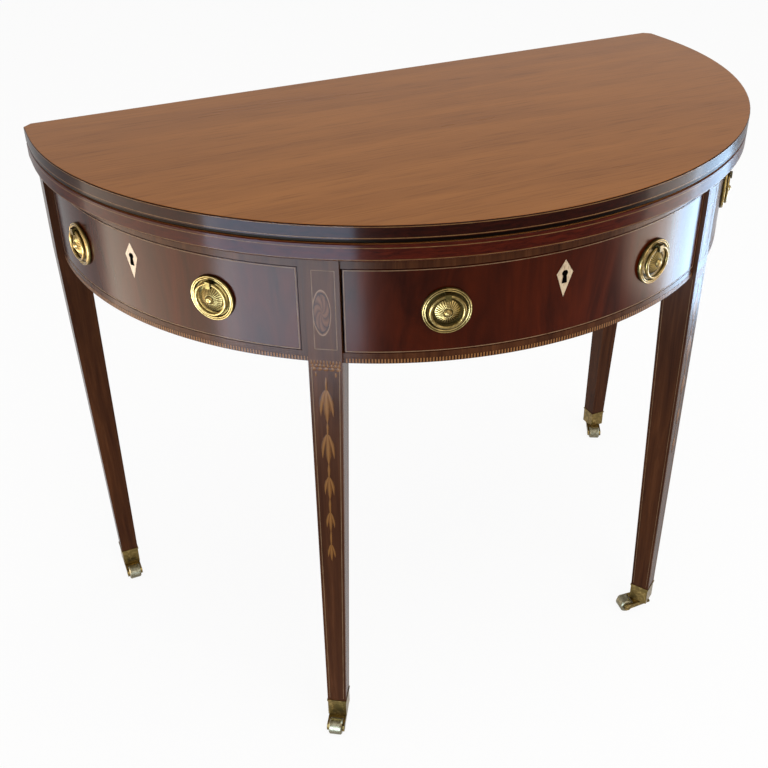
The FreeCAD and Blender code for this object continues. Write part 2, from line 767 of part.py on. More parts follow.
# Drawer
drawer_z0 = z_rail_bottom + runner_clearance
drawer_front = sector(
    front_inner, frieze_radius, -drawer_half_angle, drawer_half_angle,
    z_rail_bottom + front_gap, z_rail_top - front_gap)
drawer_angles = (-drawer_handle_angle, drawer_handle_angle)
drawer_plates = []
drawer_nuts = []
drawer_rings = []
for angle in drawer_angles:
    drawer_front = drawer_front.cut(turned(handle_bore(drawer_front_thickness), angle))
    drawer_plates.append(turned(handle_plate(nut_seat_drawer), angle))
    drawer_nuts.append(turned(handle_nut(nut_seat_drawer), angle))
    drawer_rings.append(turned(handle_ring(), angle))
drawer_front = drawer_front.cut(escutcheon_room)
drawer_front = drawer_front.cut(keyhole(3 * overrun + drawer_front_thickness))
save(drawer_front, "drawer_front")
save(escutcheon, "escutcheon_drawer")
save(Part.makeCompound(drawer_plates), "handle_plates_drawer")
save(Part.makeCompound(drawer_nuts), "handle_nuts_drawer")
save(drawer_rings[0], "handle_ring_drawer_left")
save(drawer_rings[1], "handle_ring_drawer_right")

inside = drum(front_inner - glue_line, z_frieze, z_under)
leg_turn = math.radians(front_leg_angle)
leg_back = leg_face - front_leg_depth
drawer_side_x = (
    leg_back * math.sin(leg_turn) - half_leg * math.cos(leg_turn) - drawer_side_clearance)
drawer_back_y1 = y_centre - drawer_back_from_centre
drawer_back_y0 = drawer_back_y1 - drawer_back_thickness
side_inner = drawer_side_x - drawer_side_thickness
drawer_side = box(
    -drawer_side_x, -side_inner, -depth, drawer_back_y1, drawer_z0, drawer_z0 + drawer_side_height)
drawer_side = drawer_side.common(inside)
save(drawer_side, "drawer_side_left")
save(mirrored(drawer_side), "drawer_side_right")
bottom_z0 = drawer_z0 + drawer_bottom_raise
bottom_z1 = bottom_z0 + drawer_bottom_thickness
drawer_bottom = box(-side_inner, side_inner, -depth, drawer_back_y0, bottom_z0, bottom_z1)
save(drawer_bottom.common(inside), "drawer_bottom")
drawer_back = box(
    -side_inner, side_inner, drawer_back_y0, drawer_back_y1,
    bottom_z0, bottom_z0 + drawer_back_height)
save(drawer_back, "drawer_back")

lock_front = y_centre - math.sqrt(front_inner ** 2 - (lock_width / 2) ** 2) + lock_seat
lock_top = z_rail_top - front_gap - lock_top_margin
lock = box(
    -lock_width / 2, lock_width / 2, lock_front, lock_front + lock_thickness,
    lock_top - lock_height, lock_top)
save(lock, "drawer_lock")

# Runners with guides, from the bottom rail to the back rail
runner_x1 = -(drawer_side_x - runner_overlap)
runner_x0 = runner_x1 - runner_width
guide_x1 = -(drawer_side_x + guide_clearance)
runner = box(runner_x0, runner_x1, -depth, back_y0, z_frieze, z_rail_bottom)
guide = box(
    guide_x1 - guide_width, guide_x1, -depth, back_y0, z_rail_bottom, z_rail_bottom + guide_height)
runner_left = runner.fuse(guide).common(drum(rail_inner - glue_line, z_frieze, z_under))
for block in leg_blocks:
    runner_left = runner_left.cut(block)
runner_left = runner_left.removeSplitter()
save(Part.makeCompound([runner_left, mirrored(runner_left)]), "drawer_runners")
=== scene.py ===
import math
from functools import partial

import bmesh
import bpy
import numpy as np
from mathutils import Matrix, Vector


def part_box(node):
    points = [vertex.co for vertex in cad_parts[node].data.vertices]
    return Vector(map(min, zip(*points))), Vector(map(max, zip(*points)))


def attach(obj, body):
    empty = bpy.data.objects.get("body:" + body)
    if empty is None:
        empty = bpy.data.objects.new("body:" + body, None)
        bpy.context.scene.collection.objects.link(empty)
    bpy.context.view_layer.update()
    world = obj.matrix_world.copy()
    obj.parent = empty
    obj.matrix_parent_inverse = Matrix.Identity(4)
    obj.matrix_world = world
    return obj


bl_info = {
    "name": "Demilune Table Finish",
    "version": (1, 0, 0),
    "blender": (4, 5, 0),
    "location": "View3D > Sidebar > Table",
    "description": "Wood, inlay and brass for a half-round fold-over table",
    "category": "Object",
}

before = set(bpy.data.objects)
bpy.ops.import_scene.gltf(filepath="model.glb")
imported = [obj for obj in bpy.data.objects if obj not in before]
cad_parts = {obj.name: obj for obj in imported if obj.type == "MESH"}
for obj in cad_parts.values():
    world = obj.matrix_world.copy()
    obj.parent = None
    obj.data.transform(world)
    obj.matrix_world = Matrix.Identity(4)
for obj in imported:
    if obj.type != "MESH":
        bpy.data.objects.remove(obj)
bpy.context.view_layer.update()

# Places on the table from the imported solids, in metres; angles in degrees, 0 at the front
LEAF_LOW, LEAF_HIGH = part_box("upper_leaf")
UNDER_LOW, UNDER_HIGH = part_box("lower_leaf")
DRAWER_LOW, DRAWER_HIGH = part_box("drawer_front")
FRIEZE_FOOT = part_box("bottom_rail")[0].z
PANEL_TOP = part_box("top_rail")[0].z
CUP_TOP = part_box("castor_cup_front_left")[1].z
HANDLE_Z = sum(v.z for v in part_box("handle_plates_drawer")) / 2
CENTRE_Y = LEAF_LOW.y + LEAF_HIGH.x
FRIEZE_RADIUS = CENTRE_Y - DRAWER_LOW.y
DRAWER_END, DUMMY_END, FRIEZE_END = 29.8, 89.0, 89.8
VENEER = 0.00395
HANDLES = {
    "left_outer": -76.66, "left_inner": -48.06, "drawer_left": -16.4,
    "drawer_right": 16.4, "right_inner": 48.06, "right_outer": 76.66,
}
SIDES = ((-1, "left"), (1, "right"))

# Front legs: where they stand, and their section at the frieze and at the foot
LEG_ANGLE = 32.4
LEG_FACE = FRIEZE_RADIUS + 0.0045
LEG_HALF, LEG_DEPTH = 0.0178, 0.038
FOOT_WIDTH, FOOT_DEPTH = 0.0235, 0.0245

# Edges of the leaves: a thin skin left out, the pale lines (the first a painted highlight along the
# top arris of the upper leaf, the other three stringing), the painted shade in the gap between the
# leaves and its half widths
SKIN = 0.0003
EDGE_LINES_AND_ARRIS_HIGHLIGHT = (
    LEAF_HIGH.z - 0.0019, LEAF_HIGH.z - 0.0134, UNDER_HIGH.z - 0.0043, UNDER_HIGH.z - 0.0168)
JOINT_SHADE_Z = LEAF_LOW.z + 0.0012
JOINT_SHADE_FRONT, JOINT_SHADE_BACK = 0.0026, 0.0010

# Directions on a leg's front face, or on a handle plate, before it is turned into place
ACROSS, UP, OUT = np.array([1.0, 0, 0]), np.array([0, 0, 1.0]), np.array([0, -1.0, 0])


class TableSizes(bpy.types.PropertyGroup):
    """Sizes of the inlay and of the cast brass."""

    line: bpy.props.FloatProperty(
        name="Stringing width", description="Width of the pale inlaid lines",
        default=0.0009, unit="LENGTH", precision=4)
    relief: bpy.props.FloatProperty(
        name="Inlay relief", description="How far inlay stands above the wood",
        default=0.00015, unit="LENGTH", precision=5)
    band: bpy.props.FloatProperty(
        name="Frieze band", description="Height of the chequered band at the foot of the frieze",
        default=0.0050, unit="LENGTH", precision=4)
    husk_length: bpy.props.FloatProperty(
        name="Husk length", description="Length of the topmost husk on a leg",
        default=0.046, unit="LENGTH", precision=4)
    husk_width: bpy.props.FloatProperty(
        name="Husk width", description="Width of the topmost husk on a leg",
        default=0.0185, unit="LENGTH", precision=4)
    patera_height: bpy.props.FloatProperty(
        name="Patera height", description="Height of the oval inlay on each pilaster",
        default=0.053, unit="LENGTH", precision=4)
    patera_width: bpy.props.FloatProperty(
        name="Patera width", description="Width of the oval inlay on each pilaster",
        default=0.0188, unit="LENGTH", precision=4)
    petals: bpy.props.IntProperty(
        name="Rosette petals", description="Petals round the boss of a ring handle", default=28)


class TableColours(bpy.types.PropertyGroup):
    """Colours of the woods, the inlay and the metal, as sRGB hex values."""

    top_dark: bpy.props.StringProperty(
        name="Top, dark grain", description="Darker streaks of the top", default="#6B411D")
    top_light: bpy.props.StringProperty(
        name="Top, light grain", description="Lighter streaks of the top", default="#84532A")
    shellac: bpy.props.StringProperty(
        name="Shellac", description="Amber tint of what the old polish mirrors", default="#FFDDB4")
    flame_dark: bpy.props.StringProperty(
        name="Drawer, dark figure", description="Dark figure of the drawer fronts",
        default="#260501")
    flame_light: bpy.props.StringProperty(
        name="Drawer, light figure", description="Light figure of the drawer fronts",
        default="#561A03")
    leg_dark: bpy.props.StringProperty(
        name="Leg, dark grain", description="Dark grain of legs and rails", default="#361A0D")
    leg_light: bpy.props.StringProperty(
        name="Leg, light grain", description="Light grain of legs and rails", default="#6C3F22")
    boxwood: bpy.props.StringProperty(
        name="Boxwood", description="Pale stringing", default="#86694E")
    satinwood: bpy.props.StringProperty(
        name="Satinwood", description="Golden husks and collars", default="#784C22")
    scorch: bpy.props.StringProperty(
        name="Sand shading", description="Scorched edges of the inlay", default="#40220F")
    brass: bpy.props.StringProperty(
        name="Brass", description="Polished high spots of the brass", default="#A58C56")
    tarnish: bpy.props.StringProperty(
        name="Tarnish", description="Dulled parts of the brass", default="#6C5932")
    patina: bpy.props.StringProperty(
        name="Patina", description="Brown-green ground of the handle plates", default="#4A3D1E")
    patina_dark: bpy.props.StringProperty(
        name="Patina, dark", description="Darkest patches of that ground", default="#2E2512")
    bone: bpy.props.StringProperty(
        name="Bone", description="Escutcheons", default="#D0B491")
    deal: bpy.props.StringProperty(
        name="Secondary wood", description="Drawer linings and rails at the back",
        default="#8C6A45")
    iron: bpy.props.StringProperty(
        name="Iron", description="Screws, pins and lock", default="#3A3430")
    floor: bpy.props.StringProperty(
        name="Floor", description="Pale studio floor", default="#F2F1EF")


def linear(text):
    """Linear RGBA of an sRGB hex colour."""
    srgb = np.array([int(text[i:i + 2], 16) for i in (1, 3, 5)]) / 255
    low = srgb / 12.92
    high = ((srgb + 0.055) / 1.055) ** 2.4
    return (*np.where(srgb <= 0.04045, low, high).tolist(), 1.0)


def sizes():
    """The scene's sizes of inlay and brass."""
    return bpy.context.scene.table_sizes


def colours():
    """The scene's hex colours."""
    return bpy.context.scene.table_colours


# Meshes from arrays: a shape is (points, quads, caps, uv)


def turned(points, angle):
    """Points turned about the upright axis of the table's curve; angle 0 faces the front."""
    a = math.radians(angle)
    c, s = math.cos(a), math.sin(a)
    x, y, z = points[..., 0], points[..., 1] - CENTRE_Y, points[..., 2]
    return np.stack([x * c - y * s, CENTRE_Y + x * s + y * c, z], axis=-1)


def grid_faces(rows, columns, wrap_rows=False, wrap_columns=False):
    """Quads of a rows by columns grid, closed round either way."""
    i = np.arange(rows if wrap_rows else rows - 1)
    j = np.arange(columns if wrap_columns else columns - 1)
    i, j = np.meshgrid(i, j, indexing="ij")
    a = (i % rows) * columns + (j % columns)
    b = (i % rows) * columns + ((j + 1) % columns)
    c = ((i + 1) % rows) * columns + ((j + 1) % columns)
    d = ((i + 1) % rows) * columns + (j % columns)
    return np.stack([a, b, c, d], axis=-1).reshape(-1, 4)


def first_row(columns):
    """Face that closes a grid before its first row."""
    return np.arange(columns)[::-1]


def last_row(rows, columns):
    """Face that closes a grid behind its last row."""
    return np.arange((rows - 1) * columns, rows * columns)


def swept(path, across, out, profile, closed=False):
    """A profile carried along a path: point + profile x along across + profile y along out."""
    path = np.asarray(path, float)
    across, out = (np.broadcast_to(way, path.shape)[:, None] for way in (across, out))
    points = path[:, None] + profile[:, :1] * across + profile[:, 1:] * out
    n, k = len(path), len(profile)
    caps = [] if closed else [first_row(k), last_row(n, k)]
    step = np.linalg.norm(np.diff(path, axis=0), axis=1)
    along = np.concatenate([[0], np.cumsum(step)])
    uv = np.stack(np.broadcast_arrays(along[:, None], profile[None, :, 0]), axis=-1)
    quads = grid_faces(n, k, wrap_rows=closed, wrap_columns=True)
    return points.reshape(-1, 3), quads, caps, uv.reshape(-1, 2)


def flat_strip(width, relief):
    """Section of an inlaid line: flat on top, its foot just inside the wood."""
    w = width / 2
    return np.array([(-w, -relief), (w, -relief), (w, relief), (-w, relief)])


def dome(centre, half_w, half_h, relief, rows, columns):
    """Oval lens on a leg's face: r (sin t across + cos t up), relief (1.1 - r^2) tall."""
    r = np.linspace(0, 1, rows)[:, None]
    t = np.linspace(0, 2 * math.pi, columns, endpoint=False)[None, :]
    flat = (centre + (half_w * r * np.sin(t))[..., None] * ACROSS
            + (half_h * r * np.cos(t))[..., None] * UP)
    front = flat + (relief * (1.1 - r ** 2) + 0 * t)[..., None] * OUT
    points = np.concatenate([front, flat[-1:] - relief * OUT], axis=0)
    u = np.concatenate([r + 0 * t, np.full((1, columns), 1.0)], axis=0)
    v = np.broadcast_to(t / (2 * math.pi), (rows + 1, columns))
    quads = grid_faces(rows + 1, columns, wrap_columns=True)
    uv = np.stack([u, v], axis=-1)
    return points.reshape(-1, 3), quads, [last_row(rows + 1, columns)], uv.reshape(-1, 2)


def lens(axis, half, relief, columns=5):
    """Leaf blade on a leg's face along an axis of points, closed below.

    At share s of its length it reaches half(s) to each side; at share t of that it stands
    relief (0.6 + 1.2 (1 - t^2) sin(pi s)) above the wood.
    """
    n, k = len(axis), 2 * columns
    s = np.linspace(0, 1, n)
    t = np.linspace(-1, 1, columns)
    wide = np.asarray(half)[:, None] * t[None, :]
    lift = relief * (0.6 + 1.2 * (1 - t[None, :] ** 2) * np.sin(math.pi * s)[:, None])
    front = axis[:, None] + wide[..., None] * ACROSS + lift[..., None] * OUT
    back = axis[:, None] + wide[:, ::-1, None] * ACROSS - relief * OUT
    points = np.concatenate([front, back], axis=1)
    uv = np.stack(np.broadcast_arrays(
        s[:, None], np.concatenate([t, t[::-1]])[None, :]), axis=-1)
    quads = grid_faces(n, k, wrap_columns=True)
    return points.reshape(-1, 3), quads, [first_row(k), last_row(n, k)], uv.reshape(-1, 2)


def piece(name, shapes, material, body, smooth=False):
    """One object from several shapes, riding on a body."""
    points, quads, caps, uvs, base = [], [], [], [], 0
    for shape_points, shape_quads, shape_caps, shape_uv in shapes:
        points.append(shape_points)
        quads.append(shape_quads + base)
        caps += [(cap + base).tolist() for cap in shape_caps]
        uvs.append(shape_uv)
        base += len(shape_points)
    mesh = bpy.data.meshes.new(name)
    mesh.from_pydata(np.concatenate(points).tolist(), [], np.concatenate(quads).tolist() + caps)
    mesh.update()
    corner = np.empty(len(mesh.loops), dtype=np.int32)
    mesh.loops.foreach_get("vertex_index", corner)
    layer = mesh.uv_layers.new(name="UVMap")
    layer.data.foreach_set("uv", np.concatenate(uvs)[corner].astype(np.float32).ravel())
    recalculated(mesh)
    mesh.polygons.foreach_set("use_smooth", np.full(len(mesh.polygons), smooth))
    mesh.materials.append(material)
    made = bpy.data.objects.new(name, mesh)
    bpy.context.scene.collection.objects.link(made)
    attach(made, body)
    return made


def recalculated(mesh):
    """Turns every face outwards and merges doubled points at poles."""
    work = bmesh.new()
    work.from_mesh(mesh)
    bmesh.ops.remove_doubles(work, verts=work.verts, dist=1e-7)
    bmesh.ops.recalc_face_normals(work, faces=work.faces)
    work.to_mesh(mesh)
    work.free()


# Materials

MATH, MIX = "ShaderNodeMath", "ShaderNodeMix"
RAMP, RANGE = "ShaderNodeValToRGB", "ShaderNodeMapRange"
SPLIT = "ShaderNodeSeparateXYZ"
METAL = {"Metallic": 1.0}
RELIEF_STRENGTH = 0.4
CHEQUER_STEP = 0.0033
PATERA_RIBS, PATERA_CURL = 7.0, 1.7


def node(tree, kind, links=None, values=None, stops=(), **settings):
    """Adds a node with its settings, socket values, links and colour stops; gives its outputs."""
    made = tree.nodes.new(kind)
    for key, value in settings.items():
        setattr(made, key, value)
    for key, value in (values or {}).items():
        made.inputs[key].default_value = value
    for key, socket in (links or {}).items():
        tree.links.new(socket, made.inputs[key])
    if stops:
        elements = made.color_ramp.elements
        while len(elements) < len(stops):
            elements.new(0.5)
        for element, (at, colour) in zip(elements, stops):
            element.position = at
            element.color = linear(colour)
    return made.outputs


def blank(name):
    """An empty material: (material, what adds its nodes, object coordinates, UV)."""
    material = bpy.data.materials.get(name) or bpy.data.materials.new(name)
    material.use_nodes = True
    material.node_tree.nodes.clear()
    add = partial(node, material.node_tree)
    place = add("ShaderNodeTexCoord")
    return material, add, place["Object"], place["UV"]


def grain(add, spot, spacing, detail=6.0, distortion=0.6):
    """Wood grain or patches: noise with its features spaced so many mm along X, Y and Z."""
    stretched = add(
        "ShaderNodeMapping", {"Vector": spot}, {"Scale": [1000 / mm for mm in spacing]})
    return add(
        "ShaderNodeTexNoise", {"Vector": stretched["Vector"]},
        {"Scale": 1.0, "Detail": detail, "Roughness": 0.62, "Distortion": distortion})["Fac"]


def between(add, socket, low, high):
    """1 where a value lies between two limits, else 0."""
    above = add(MATH, {0: socket}, {1: low}, operation="GREATER_THAN")[0]
    below = add(MATH, {0: socket}, {1: high}, operation="LESS_THAN")[0]
    return add(MATH, {0: above, 1: below}, operation="MULTIPLY")[0]


def laid(add, colour, mask, pattern, stops):
    """A colour, with another that follows a pattern laid over it where a mask is 1."""
    over = add(RAMP, {"Fac": pattern}, stops=stops)["Color"]
    return add(MIX, {0: mask, 6: colour, 7: over}, data_type="RGBA")[2]


def figured(add, fine, broad, first, second):
    """Two sets of colours along a broad pattern, mixed by a fine one."""
    under = add(RAMP, {"Fac": broad}, stops=first)["Color"]
    return laid(add, under, fine, broad, second)


def dressed(material, add, colour, pattern, roughness, values, relief=None, links=None):
    """Ends a material: a roughness that follows a pattern between two limits, and any relief.

    Relief is (pattern, depth in metres, strength).
    """
    limits = {"To Min": roughness[0], "To Max": roughness[1]}
    sockets = {"Base Color": colour, **(links or {}),
               "Roughness": add(RANGE, {"Value": pattern}, limits)["Result"]}
    if relief:
        height, depth, strength = relief
        sockets["Normal"] = add(
            "ShaderNodeBump", {"Height": height},
            {"Strength": strength, "Distance": depth})["Normal"]
    shader = add("ShaderNodeBsdfPrincipled", sockets, values)
    add("ShaderNodeOutputMaterial", {"Surface": shader["BSDF"]})
    return material


def plain(name, spacing, noise, stops, roughness, values, depth=0.0):
    """A material with one pattern, which its colour, its roughness and any relief follow."""
    material, add, spot, uv = blank(name)
    patch = grain(add, spot, spacing, *noise)
    colour = add(RAMP, {"Fac": patch}, stops=stops)["Color"]
    relief = (patch, depth, RELIEF_STRENGTH) if depth else None
    return dressed(material, add, colour, patch, roughness, values, relief)


def polish(specular=0.05, coat=0.05, roughness=0.17):
    """Values of the one thin amber polish that lies over the woods and their inlay alike."""
    return {"Specular IOR Level": specular, "Specular Tint": linear(colours().shellac),
            "Coat Weight": coat, "Coat Roughness": roughness}


def polished_top():
    """French-polished mahogany: long warm streaks, fine pores, dark edges with pale stringing, a
    painted highlight along the top arris and painted shade in the gap between the leaves.
    """
    c = colours()
    material, add, spot, uv = blank("polished mahogany top")
    broad = grain(add, spot, (500, 45.45, 45.45), 3.0, 0.7)
    fine = grain(add, spot, (71.43, 2.381, 2.381), 4.0, 0.2)
    figure = grain(add, spot, (16.67, 16.67, 3.333))
    colour = figured(
        add, fine, broad, [(0.3, c.top_dark), (0.72, c.top_light)],
        [(0.25, c.top_light), (0.75, "#8D5C30")])
    pores = add(
        RANGE, {"Value": fine},
        {"From Min": 0.48, "From Max": 0.28, "To Min": 0.0, "To Max": 0.5})["Result"]
    colour = laid(add, colour, pores, broad, [(0.3, "#4A2A12"), (0.7, "#5E3818")])
    split = add(SPLIT, {"Vector": spot})
    y, z = split["Y"], split["Z"]
    upper = between(add, z, LEAF_LOW.z + SKIN, LEAF_HIGH.z - SKIN)
    lower = between(add, z, UNDER_LOW.z + SKIN, UNDER_HIGH.z - SKIN)
    edge = add(MATH, {0: upper, 1: lower}, operation="MAXIMUM")[0]
    colour = laid(add, colour, edge, figure, [(0.3, "#2A0703"), (0.75, "#54190A")])
    colour = laid(add, colour, upper, figure, [(0.3, "#160301"), (0.75, "#320C04")])
    # The stringing and the painted arris highlight stop at the straight back edge
    front = between(add, y, -1.0, UNDER_HIGH.y - 0.0005)
    half = sizes().line / 2
    for height in EDGE_LINES_AND_ARRIS_HIGHLIGHT:
        stripe = between(add, z, height - half, height + half)
        held = add(MATH, {0: stripe, 1: front}, operation="MULTIPLY")[0]
        colour = laid(add, colour, held, fine, [(0.2, "#5A3A22"), (0.8, "#86643F")])
    # Painted shade in the gap between the leaves, near black: they part a little at the front, so
    # the painted shade widens towards it
    drop = add(MATH, {0: z}, {1: JOINT_SHADE_Z}, operation="SUBTRACT")[0]
    reach = add(MATH, {0: drop}, operation="ABSOLUTE")[0]
    wide = add(
        RANGE, {"Value": y}, {"From Min": LEAF_LOW.y, "From Max": CENTRE_Y,
                              "To Min": JOINT_SHADE_FRONT, "To Max": JOINT_SHADE_BACK})["Result"]
    dark = add(MATH, {0: reach, 1: wide}, operation="LESS_THAN")[0]
    joint_shade = add(MATH, {0: dark, 1: edge}, operation="MULTIPLY")[0]
    colour = laid(add, colour, joint_shade, fine, [(0.2, "#050201"), (0.8, "#0E0503")])
    # Full polish on the faces, less on the edges and none in the painted shade between the leaves
    matt = add(MATH, {0: edge, 2: joint_shade}, {1: 0.4}, operation="MULTIPLY_ADD")[0]
    gloss = add(RANGE, {"Value": matt}, {"To Min": 0.12, "To Max": 0.0})["Result"]
    return dressed(
        material, add, colour, broad, (0.24, 0.34), polish(specular=0.02, roughness=0.12),
        (fine, 0.00004, RELIEF_STRENGTH), {"Coat Weight": gloss})


def flame_mahogany():
    """Flame-figured mahogany veneer: upright red-brown feathers under a deep polish."""
    c = colours()
    material, add, spot, uv = blank("flame mahogany veneer")
    broad = grain(add, spot, (38.46, 38.46, 200), 3.0, 1.2)
    fine = grain(add, spot, (1.923, 1.923, 55.56), 3.0, 0.2)
    colour = figured(
        add, fine, broad, [(0.3, c.flame_dark), (0.75, c.flame_light)],
        [(0.3, "#2E0902"), (0.8, "#461404")])
    return dressed(
        material, add, colour, broad, (0.18, 0.26), polish(), (fine, 0.00003, RELIEF_STRENGTH))


def leg_mahogany():
    """Plain mahogany of legs and rails: dark upright pores under 2 mm apart, worn semi-gloss."""
    c = colours()
    material, add, spot, uv = blank("plain mahogany")
    broad = grain(add, spot, (14.29, 14.29, 200), 5.0, 0.8)
    fine = grain(add, spot, (1.667, 1.667, 50), 3.0, 0.2)
    colour = figured(
        add, fine, broad, [(0.3, c.leg_dark), (0.75, c.leg_light)],
        [(0.3, "#30170D"), (0.8, "#47291A")])
    values = polish(specular=0.04, coat=0.04, roughness=0.2)
    return dressed(
        material, add, colour, broad, (0.2, 0.32), values, (fine, 0.00004, RELIEF_STRENGTH))


def plain_deal():
    """Unfinished pine and oak linings: straight pale grain about 7 mm wide, dry and matt."""
    return plain(
        "unfinished deal", (285.7, 6.667, 6.667), (5.0, 0.25),
        [(0.25, "#5E432A"), (0.55, colours().deal), (0.8, "#A5835A")], (0.6, 0.8), {}, 0.0001)


def boxwood_line():
    """Boxwood stringing: pale close-grained lines, yellowed by polish."""
    return plain(
        "boxwood stringing", (11.11, 11.11, 16.67), (4.0, 0.4),
        [(0.25, "#6A4E36"), (0.5, colours().boxwood), (0.8, "#90745A")], (0.3, 0.45), polish())


def satinwood_leaf():
    """Sand-shaded satinwood: golden in the middle of each blade, scorched brown to its edges."""
    c = colours()
    material, add, spot, uv = blank("sand-shaded satinwood")
    patch = grain(add, spot, (3.846, 3.846, 16.67), 4.0, 0.6)
    side = add(MATH, {0: add(SPLIT, {"Vector": uv})["Y"]}, operation="ABSOLUTE")[0]
    shade = add(MATH, {0: side, 1: patch}, operation="MULTIPLY")[0]
    colour = add(RAMP, {"Fac": shade}, stops=[
        (0.0, "#8E6434"), (0.22, c.satinwood), (0.46, c.scorch)])["Color"]
    return dressed(material, add, colour, patch, (0.28, 0.42), polish())


def chequer_band():
    """Chequered banding: blocks of box and dark wood, 3.3 mm apart so that they still show."""
    material, add, spot, uv = blank("chequered banding")
    along = add(SPLIT, {"Vector": uv})["X"]
    steps = add(MATH, {0: along}, {1: 1 / CHEQUER_STEP}, operation="MULTIPLY")[0]
    part = add(MATH, {0: steps}, operation="FRACT")[0]
    colour = add(RAMP, {"Fac": part}, stops=[
        (0.0, "#2A130A"), (0.46, "#2A130A"), (0.52, "#8E6038"), (0.96, "#8E6038")])["Color"]
    return dressed(material, add, colour, part, (0.4, 0.4), polish())


def patera_veneer():
    """Shell patera: brown whorled ribs, each scorched along one side, inside a thin pale ring."""
    material, add, spot, uv = blank("inlaid shell patera")
    split = add(SPLIT, {"Vector": uv})
    radius, turn = split["X"], split["Y"]
    ribs = add(MATH, {0: turn}, {1: PATERA_RIBS}, operation="MULTIPLY")[0]
    curl = add(MATH, {0: radius, 2: ribs}, {1: PATERA_CURL}, operation="MULTIPLY_ADD")[0]
    part = add(MATH, {0: curl}, operation="FRACT")[0]
    patch = grain(add, spot, (5.556, 5.556, 8.333), 4.0, 0.8)
    colour = figured(
        add, patch, part,
        [(0.0, "#2C140A"), (0.2, "#5C3822"), (0.6, "#87593A"), (0.95, "#6C432B")],
        [(0.0, "#24100A"), (0.3, "#4A2A1A"), (0.9, "#5E3A26")])
    for inner, outer, stops in (
            (0.8, 0.88, [(0.3, "#1E0E07"), (0.8, "#3A2013")]),
            (0.93, 2.0, [(0.3, "#80624A"), (0.8, "#987A5E")])):
        colour = laid(add, colour, between(add, radius, inner, outer), patch, stops)
    return dressed(material, add, colour, patch, (0.3, 0.4), polish())


def old_brass():
    """Cast brass, lacquer gone: bright on high spots, brown-green tarnish in patches of 6 mm."""
    c = colours()
    material, add, spot, uv = blank("aged cast brass")
    patch = grain(add, spot, (5.882, 5.882, 5.882), 5.0, 0.8)
    grit = grain(add, spot, (1.111, 1.111, 1.111), 3.0, 0.1)
    colour = add(RAMP, {"Fac": patch}, stops=[
        (0.25, "#574928"), (0.5, c.tarnish), (0.74, c.brass)])["Color"]
    return dressed(material, add, colour, patch, (0.4, 0.26), METAL, (grit, 0.00003, 0.2))


def brass_patina():
    """The sunk ground of a handle plate: brass gone brown-green where polish never reaches."""
    c = colours()
    return plain(
        "patinated brass ground", (3.846, 3.846, 3.846), (4.0, 0.5),
        [(0.25, c.patina_dark), (0.5, c.patina), (0.8, "#6E5E34")], (0.5, 0.36), METAL)


def worn_bands(material, add, spot, radius, bands, roughness):
    """Ends a brass that is bright but for bands, each (inner, outer radius, pattern, stops)."""
    c = colours()
    patch = grain(add, spot, (5.882, 5.882, 5.882), 4.0, 0.6)
    colour = add(RAMP, {"Fac": patch}, stops=[(0.3, c.tarnish), (0.7, c.brass)])["Color"]
    for inner, outer, pattern, stops in bands:
        colour = laid(
            add, colour, between(add, radius, inner, outer), pattern or patch,
            stops or [(0.3, c.patina_dark), (0.8, c.patina)])
    return dressed(material, add, colour, patch, roughness, METAL)


def stamped_brass():
    """Stamped petals: worn bright along each petal, dark in the grooves and round the nub."""
    c = colours()
    material, add, spot, uv = blank("stamped brass petals")
    split = add(SPLIT, {"Vector": uv})
    turns = add(MATH, {0: split["Y"]}, {1: float(sizes().petals)}, operation="MULTIPLY")[0]
    part = add(MATH, {0: turns}, operation="FRACT")[0]
    petal = [(0.0, c.brass), (0.3, c.tarnish), (0.46, "#3A2E14"), (0.54, "#3A2E14"),
             (0.7, c.tarnish), (1.0, c.brass)]
    bands = ((0.38, 0.97, part, petal), (0.30, 0.38, None, None))
    return worn_bands(material, add, spot, split["X"], bands, (0.4, 0.28))


def moulded_brass():
    """Moulded rim of a handle plate: two worn bright beads, dark in the groove and at the foot."""
    material, add, spot, uv = blank("moulded brass rim")
    radius = add(SPLIT, {"Vector": uv})["Y"]
    bands = ((0.0230, 0.0241, None, None), (0.0200, 0.0213, None, None))
    return worn_bands(material, add, spot, radius, bands, (0.4, 0.26))


def worn_roller():
    """Castor roller: brass worn pale and silvery by the floor, brown scuffs 4 mm across."""
    return plain(
        "worn brass roller", (4.0, 4.0, 4.0), (4.0, 0.6),
        [(0.25, "#443A28"), (0.45, "#6C644E"), (0.75, "#8C8670")], (0.5, 0.38), METAL)


def aged_bone():
    """Polished bone: warm ivory with fine upright brown flecks, 2 mm apart."""
    return plain(
        "polished bone", (2.381, 2.381, 6.25), (4.0, 0.4),
        [(0.25, "#8A6848"), (0.45, colours().bone), (0.8, "#DCC4A2")], (0.38, 0.38),
        {"Subsurface Weight": 0.05})


def dull_iron():
    """Wrought iron screws and pins: dark, slightly rusted and rough."""
    return plain(
        "dull iron", (2.5, 2.5, 2.5), (4.0, 0.3),
        [(0.3, "#241E1A"), (0.6, colours().iron), (0.85, "#5A4030")], (0.5, 0.7),
        {"Metallic": 0.8})


def keyhole_painted_shade():
    """Painted shade inside a keyhole: all but black, standing in for unlit wood and iron."""
    return plain(
        "keyhole shadow", (3.333, 3.333, 3.333), (2.0, 0.0),
        [(0.3, "#040302"), (0.8, "#0C0806")], (0.9, 0.9), {"Specular IOR Level": 0.0})


MAKERS = {
    "top": polished_top, "flame": flame_mahogany, "leg": leg_mahogany, "deal": plain_deal,
    "boxwood": boxwood_line, "satinwood": satinwood_leaf, "chequer": chequer_band,
    "patera": patera_veneer, "brass": old_brass, "bone": aged_bone, "iron": dull_iron,
    "keyhole": keyhole_painted_shade, "patina": brass_patina, "stamped": stamped_brass,
    "moulded": moulded_brass, "roller": worn_roller,
}
MADE = {}


def finish(name):
    """A material of the table, made once."""
    if name not in MADE:
        MADE[name] = MAKERS[name]()
    return MADE[name]


